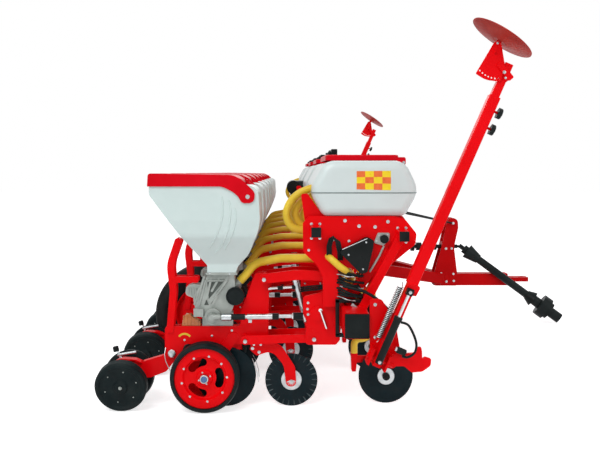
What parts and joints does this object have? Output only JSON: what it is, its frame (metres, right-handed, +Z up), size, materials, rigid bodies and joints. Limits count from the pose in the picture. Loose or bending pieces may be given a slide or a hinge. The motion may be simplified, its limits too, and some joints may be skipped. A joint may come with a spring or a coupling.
{
  "type": "row crop planter",
  "caption": "Trailed precision planter with seed hoppers, fertiliser tanks, folding row markers and disc openers, lowered on its wheels.",
  "frame": {"origin": "on the ground under the middle of the machine's length and width", "axes": "+X travel direction towards the hitch, +Y the machine's left, +Z up"},
  "size_m": [3.618, 6.0618, 2.2067],
  "materials": {
    "red_paint": "gloss",
    "red_lid": "satin",
    "white_plastic": "satin",
    "yellow_hose": "ribbed",
    "cast_aluminium": "cast",
    "zinc_steel": "zinc plated",
    "blued_steel": "dark oiled",
    "black_rubber": "satin",
    "tyre_rubber": "matt",
    "black_paint": "satin",
    "black_plastic": "satin"
  },
  "bodies": {
    "frame": {"main_frame": "red_paint", "drawbar": "red_paint", "fertiliser_tanks": "white_plastic", "row_headstocks": "red_paint", "parallel_links": "red_paint", "row_frames": "red_paint", "wheel_arms": "red_paint", "seed_hoppers": "white_plastic", "seed_meters": "cast_aluminium", "meter_drives": "zinc_steel", "fertiliser_openers": "red_paint", "fan_and_driveline": "black_paint", "hoses": "yellow_hose", "marker_brackets": "red_paint", "transport_arms": "red_paint"},
    "fertiliser_lid_1": {"fertiliser_lid_1": "red_lid"},
    "fertiliser_lid_2": {"fertiliser_lid_2": "red_lid"},
    "fertiliser_lid_3": {"fertiliser_lid_3": "red_lid"},
    "fertiliser_lid_4": {"fertiliser_lid_4": "red_lid"},
    "hopper_lid_1": {"hopper_lid_1": "red_lid"},
    "hopper_lid_2": {"hopper_lid_2": "red_lid"},
    "hopper_lid_3": {"hopper_lid_3": "red_lid"},
    "hopper_lid_4": {"hopper_lid_4": "red_lid"},
    "hopper_lid_5": {"hopper_lid_5": "red_lid"},
    "hopper_lid_6": {"hopper_lid_6": "red_lid"},
    "hopper_lid_7": {"hopper_lid_7": "red_lid"},
    "hopper_lid_8": {"hopper_lid_8": "red_lid"},
    "gauge_wheels_1": {"gauge_wheels_1": "black_rubber"},
    "gauge_wheels_2": {"gauge_wheels_2": "black_rubber"},
    "gauge_wheels_3": {"gauge_wheels_3": "black_rubber"},
    "gauge_wheels_4": {"gauge_wheels_4": "black_rubber"},
    "gauge_wheels_5": {"gauge_wheels_5": "black_rubber"},
    "gauge_wheels_6": {"gauge_wheels_6": "black_rubber"},
    "gauge_wheels_7": {"gauge_wheels_7": "black_rubber"},
    "gauge_wheels_8": {"gauge_wheels_8": "black_rubber"},
    "closing_wheel_1_right": {"closing_wheel_1_right": "black_rubber"},
    "closing_wheel_1_left": {"closing_wheel_1_left": "black_rubber"},
    "closing_wheel_2_right": {"closing_wheel_2_right": "black_rubber"},
    "closing_wheel_2_left": {"closing_wheel_2_left": "black_rubber"},
    "closing_wheel_3_right": {"closing_wheel_3_right": "black_rubber"},
    "closing_wheel_3_left": {"closing_wheel_3_left": "black_rubber"},
    "closing_wheel_4_right": {"closing_wheel_4_right": "black_rubber"},
    "closing_wheel_4_left": {"closing_wheel_4_left": "black_rubber"},
    "closing_wheel_5_right": {"closing_wheel_5_right": "black_rubber"},
    "closing_wheel_5_left": {"closing_wheel_5_left": "black_rubber"},
    "closing_wheel_6_right": {"closing_wheel_6_right": "black_rubber"},
    "closing_wheel_6_left": {"closing_wheel_6_left": "black_rubber"},
    "closing_wheel_7_right": {"closing_wheel_7_right": "black_rubber"},
    "closing_wheel_7_left": {"closing_wheel_7_left": "black_rubber"},
    "closing_wheel_8_right": {"closing_wheel_8_right": "black_rubber"},
    "closing_wheel_8_left": {"closing_wheel_8_left": "black_rubber"},
    "coulter_discs": {"coulter_discs": "blued_steel"},
    "opener_discs": {"opener_discs": "blued_steel"},
    "fertiliser_discs": {"fertiliser_discs": "blued_steel"},
    "transport_wheels": {"transport_wheels": "tyre_rubber"},
    "marker_arm_right": {"marker_arm_right": "red_paint"},
    "marker_disc_right": {"marker_disc_right": "red_paint"},
    "marker_arm_left": {"marker_arm_left": "red_paint"},
    "marker_disc_left": {"marker_disc_left": "red_paint"},
    "pto_shaft": {"pto_shaft": "black_plastic"}
  },
  "joints": [
    {"name": "fertiliser_lid_1_hinge", "type": "hinge", "parent": "frame", "child": "fertiliser_lid_1", "pos_m": [-0.005, -2.1, 1.442], "axis": [0, 1, 0], "range_deg": [0, 85]},
    {"name": "fertiliser_lid_2_hinge", "type": "hinge", "parent": "frame", "child": "fertiliser_lid_2", "pos_m": [-0.005, -0.7, 1.442], "axis": [0, 1, 0], "range_deg": [0, 85]},
    {"name": "fertiliser_lid_3_hinge", "type": "hinge", "parent": "frame", "child": "fertiliser_lid_3", "pos_m": [-0.005, 0.7, 1.442], "axis": [0, 1, 0], "range_deg": [0, 85]},
    {"name": "fertiliser_lid_4_hinge", "type": "hinge", "parent": "frame", "child": "fertiliser_lid_4", "pos_m": [-0.005, 2.1, 1.442], "axis": [0, 1, 0], "range_deg": [0, 85]},
    {"name": "hopper_lid_1_hinge", "type": "hinge", "parent": "frame", "child": "hopper_lid_1", "pos_m": [-0.924, -2.45, 1.245], "axis": [0, 1, 0], "range_deg": [0, 90]},
    {"name": "hopper_lid_2_hinge", "type": "hinge", "parent": "frame", "child": "hopper_lid_2", "pos_m": [-0.924, -1.75, 1.245], "axis": [0, 1, 0], "range_deg": [0, 90]},
    {"name": "hopper_lid_3_hinge", "type": "hinge", "parent": "frame", "child": "hopper_lid_3", "pos_m": [-0.924, -1.05, 1.245], "axis": [0, 1, 0], "range_deg": [0, 90]},
    {"name": "hopper_lid_4_hinge", "type": "hinge", "parent": "frame", "child": "hopper_lid_4", "pos_m": [-0.924, -0.35, 1.245], "axis": [0, 1, 0], "range_deg": [0, 90]},
    {"name": "hopper_lid_5_hinge", "type": "hinge", "parent": "frame", "child": "hopper_lid_5", "pos_m": [-0.924, 0.35, 1.245], "axis": [0, 1, 0], "range_deg": [0, 90]},
    {"name": "hopper_lid_6_hinge", "type": "hinge", "parent": "frame", "child": "hopper_lid_6", "pos_m": [-0.924, 1.05, 1.245], "axis": [0, 1, 0], "range_deg": [0, 90]},
    {"name": "hopper_lid_7_hinge", "type": "hinge", "parent": "frame", "child": "hopper_lid_7", "pos_m": [-0.924, 1.75, 1.245], "axis": [0, 1, 0], "range_deg": [0, 90]},
    {"name": "hopper_lid_8_hinge", "type": "hinge", "parent": "frame", "child": "hopper_lid_8", "pos_m": [-0.924, 2.45, 1.245], "axis": [0, 1, 0], "range_deg": [0, 90]},
    {"name": "gauge_wheels_1_turn", "type": "hinge", "parent": "frame", "child": "gauge_wheels_1", "pos_m": [-1.176, -2.45, 0.2], "axis": [0, 1, 0], "continuous": true},
    {"name": "gauge_wheels_2_turn", "type": "hinge", "parent": "frame", "child": "gauge_wheels_2", "pos_m": [-1.176, -1.75, 0.2], "axis": [0, 1, 0], "continuous": true},
    {"name": "gauge_wheels_3_turn", "type": "hinge", "parent": "frame", "child": "gauge_wheels_3", "pos_m": [-1.176, -1.05, 0.2], "axis": [0, 1, 0], "continuous": true},
    {"name": "gauge_wheels_4_turn", "type": "hinge", "parent": "frame", "child": "gauge_wheels_4", "pos_m": [-1.176, -0.35, 0.2], "axis": [0, 1, 0], "continuous": true},
    {"name": "gauge_wheels_5_turn", "type": "hinge", "parent": "frame", "child": "gauge_wheels_5", "pos_m": [-1.176, 0.35, 0.2], "axis": [0, 1, 0], "continuous": true},
    {"name": "gauge_wheels_6_turn", "type": "hinge", "parent": "frame", "child": "gauge_wheels_6", "pos_m": [-1.176, 1.05, 0.2], "axis": [0, 1, 0], "continuous": true},
    {"name": "gauge_wheels_7_turn", "type": "hinge", "parent": "frame", "child": "gauge_wheels_7", "pos_m": [-1.176, 1.75, 0.2], "axis": [0, 1, 0], "continuous": true},
    {"name": "gauge_wheels_8_turn", "type": "hinge", "parent": "frame", "child": "gauge_wheels_8", "pos_m": [-1.176, 2.45, 0.2], "axis": [0, 1, 0], "continuous": true},
    {"name": "closing_wheel_1_right_turn", "type": "hinge", "parent": "frame", "child": "closing_wheel_1_right", "pos_m": [-1.659, -2.553, 0.1515], "axis": [0, 0.9781, 0.2079], "continuous": true},
    {"name": "closing_wheel_1_left_turn", "type": "hinge", "parent": "frame", "child": "closing_wheel_1_left", "pos_m": [-1.659, -2.347, 0.1515], "axis": [0, 0.9781, -0.2079], "continuous": true},
    {"name": "closing_wheel_2_right_turn", "type": "hinge", "parent": "frame", "child": "closing_wheel_2_right", "pos_m": [-1.659, -1.853, 0.1515], "axis": [0, 0.9781, 0.2079], "continuous": true},
    {"name": "closing_wheel_2_left_turn", "type": "hinge", "parent": "frame", "child": "closing_wheel_2_left", "pos_m": [-1.659, -1.647, 0.1515], "axis": [0, 0.9781, -0.2079], "continuous": true},
    {"name": "closing_wheel_3_right_turn", "type": "hinge", "parent": "frame", "child": "closing_wheel_3_right", "pos_m": [-1.659, -1.153, 0.1515], "axis": [0, 0.9781, 0.2079], "continuous": true},
    {"name": "closing_wheel_3_left_turn", "type": "hinge", "parent": "frame", "child": "closing_wheel_3_left", "pos_m": [-1.659, -0.947, 0.1515], "axis": [0, 0.9781, -0.2079], "continuous": true},
    {"name": "closing_wheel_4_right_turn", "type": "hinge", "parent": "frame", "child": "closing_wheel_4_right", "pos_m": [-1.659, -0.453, 0.1515], "axis": [0, 0.9781, 0.2079], "continuous": true},
    {"name": "closing_wheel_4_left_turn", "type": "hinge", "parent": "frame", "child": "closing_wheel_4_left", "pos_m": [-1.659, -0.247, 0.1515], "axis": [0, 0.9781, -0.2079], "continuous": true},
    {"name": "closing_wheel_5_right_turn", "type": "hinge", "parent": "frame", "child": "closing_wheel_5_right", "pos_m": [-1.659, 0.247, 0.1515], "axis": [0, 0.9781, 0.2079], "continuous": true},
    {"name": "closing_wheel_5_left_turn", "type": "hinge", "parent": "frame", "child": "closing_wheel_5_left", "pos_m": [-1.659, 0.453, 0.1515], "axis": [0, 0.9781, -0.2079], "continuous": true},
    {"name": "closing_wheel_6_right_turn", "type": "hinge", "parent": "frame", "child": "closing_wheel_6_right", "pos_m": [-1.659, 0.947, 0.1515], "axis": [0, 0.9781, 0.2079], "continuous": true},
    {"name": "closing_wheel_6_left_turn", "type": "hinge", "parent": "frame", "child": "closing_wheel_6_left", "pos_m": [-1.659, 1.153, 0.1515], "axis": [0, 0.9781, -0.2079], "continuous": true},
    {"name": "closing_wheel_7_right_turn", "type": "hinge", "parent": "frame", "child": "closing_wheel_7_right", "pos_m": [-1.659, 1.647, 0.1515], "axis": [0, 0.9781, 0.2079], "continuous": true},
    {"name": "closing_wheel_7_left_turn", "type": "hinge", "parent": "frame", "child": "closing_wheel_7_left", "pos_m": [-1.659, 1.853, 0.1515], "axis": [0, 0.9781, -0.2079], "continuous": true},
    {"name": "closing_wheel_8_right_turn", "type": "hinge", "parent": "frame", "child": "closing_wheel_8_right", "pos_m": [-1.659, 2.347, 0.1515], "axis": [0, 0.9781, 0.2079], "continuous": true},
    {"name": "closing_wheel_8_left_turn", "type": "hinge", "parent": "frame", "child": "closing_wheel_8_left", "pos_m": [-1.659, 2.553, 0.1515], "axis": [0, 0.9781, -0.2079], "continuous": true},
    {"name": "coulter_turn", "type": "hinge", "parent": "frame", "child": "coulter_discs", "pos_m": [-0.676, 0, 0.155], "axis": [0, 1, 0], "continuous": true},
    {"name": "opener_turn", "type": "hinge", "parent": "frame", "child": "opener_discs", "pos_m": [-1.061, 0, 0.177], "axis": [0, 1, 0], "continuous": true},
    {"name": "fertiliser_disc_turn", "type": "hinge", "parent": "frame", "child": "fertiliser_discs", "pos_m": [-0.11, 0, 0.163], "axis": [0, 1, 0], "continuous": true},
    {"name": "transport_wheels_turn", "type": "hinge", "parent": "frame", "child": "transport_wheels", "pos_m": [-1.316, 0, 0.35], "axis": [0, 1, 0], "continuous": true},
    {"name": "marker_right_fold", "type": "hinge", "parent": "frame", "child": "marker_arm_right", "pos_m": [-0.212, -2.85, 0.385], "axis": [0.915, 0, -0.4035], "range_deg": [0, 95]},
    {"name": "marker_disc_right_turn", "type": "hinge", "parent": "marker_arm_right", "child": "marker_disc_right", "pos_m": [0.437, -2.85, 2.086], "axis": [0.5678, -0.0503, 0.8216], "continuous": true},
    {"name": "marker_left_fold", "type": "hinge", "parent": "frame", "child": "marker_arm_left", "pos_m": [-0.212, 2.85, 0.385], "axis": [-0.915, 0, 0.4035], "range_deg": [0, 95]},
    {"name": "marker_disc_left_turn", "type": "hinge", "parent": "marker_arm_left", "child": "marker_disc_left", "pos_m": [0.437, 2.85, 2.086], "axis": [0.5678, 0.0503, 0.8216], "continuous": true},
    {"name": "pto_shaft_swing", "type": "hinge", "parent": "frame", "child": "pto_shaft", "pos_m": [0.941, 0, 0.68], "axis": [0, -1, 0], "range_deg": [0, 30]}
  ]
}
